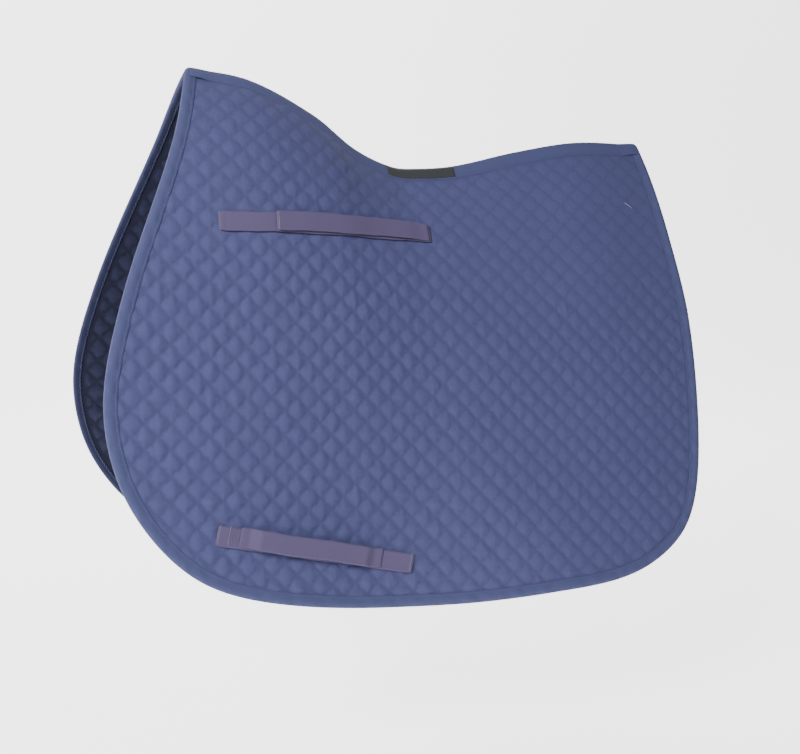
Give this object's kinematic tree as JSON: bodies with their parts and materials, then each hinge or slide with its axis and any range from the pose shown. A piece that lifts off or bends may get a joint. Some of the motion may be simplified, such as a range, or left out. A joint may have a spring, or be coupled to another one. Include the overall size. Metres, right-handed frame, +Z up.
{
  "type": "saddle pad",
  "caption": "Contoured quilted saddle pad of two bound fabric halves joined along a curved spine, with touch-close billet straps and webbing girth loops.",
  "frame": {"origin": "under the spine at the lowest point of the seat, where the pad lies on the horse's back", "axes": "+X towards the tail, along the spine; +Y to the off (right) side; +Z up"},
  "size_m": [0.6773, 0.3384, 0.5628],
  "materials": {
    "cover": "slate blue brushed cotton, diamond quilted",
    "wadding": "white polyester wadding",
    "lining": "dark navy cotton, quilted with the cover",
    "binding": "slate blue woven cotton tape",
    "webbing": "mauve grey ribbed webbing",
    "touch_tape": "woven touch-close tape",
    "thread": "pale grey sewing thread",
    "label": "black woven satin"
  },
  "bodies": {
    "spine": {"spine_outer_tape": "binding", "spine_inner_tape": "binding", "spine_label": "label"},
    "left_side": {"left_outer_cover": "cover", "left_wadding": "wadding", "left_lining": "lining", "left_edge_binding": "binding", "left_billet_base_strap": "webbing", "left_billet_loop_tape": "touch_tape", "left_billet_front_tack": "thread", "left_girth_base_strap": "webbing", "left_girth_loop_band": "webbing", "left_girth_front_tack": "thread", "left_girth_middle_tack": "thread", "left_girth_rear_tack": "thread"},
    "left_flap": {"left_billet_flap": "webbing", "left_billet_hook_tape": "touch_tape", "left_billet_flap_tack": "thread"},
    "right_side": {"right_outer_cover": "cover", "right_wadding": "wadding", "right_lining": "lining", "right_edge_binding": "binding", "right_billet_base_strap": "webbing", "right_billet_loop_tape": "touch_tape", "right_billet_front_tack": "thread", "right_girth_base_strap": "webbing", "right_girth_loop_band": "webbing", "right_girth_front_tack": "thread", "right_girth_middle_tack": "thread", "right_girth_rear_tack": "thread"},
    "right_flap": {"right_billet_flap": "webbing", "right_billet_hook_tape": "touch_tape", "right_billet_flap_tack": "thread"}
  },
  "joints": [
    {"name": "left_side_swing", "type": "hinge", "parent": "spine", "child": "left_side", "pos_m": [0, 0, 0.0834], "axis": [-0.9935, 0, 0.1137], "range_deg": [0, 8], "deforming": ["spine_outer_tape", "spine_inner_tape", "spine_label"]},
    {"name": "right_side_swing", "type": "hinge", "parent": "spine", "child": "right_side", "pos_m": [0, 0, 0.0834], "axis": [0.9935, 0, -0.1137], "range_deg": [0, 8], "deforming": ["spine_outer_tape", "spine_inner_tape", "spine_label"]},
    {"name": "left_flap_hinge", "type": "hinge", "parent": "left_side", "child": "left_flap", "pos_m": [-0.00713, -0.05513, -0.05705], "axis": [0.0326, 0.4629, 0.8858], "range_deg": [0, 150]},
    {"name": "right_flap_hinge", "type": "hinge", "parent": "right_side", "child": "right_flap", "pos_m": [-0.00713, 0.05513, -0.05705], "axis": [-0.0326, 0.4629, -0.8858], "range_deg": [0, 150]}
  ]
}
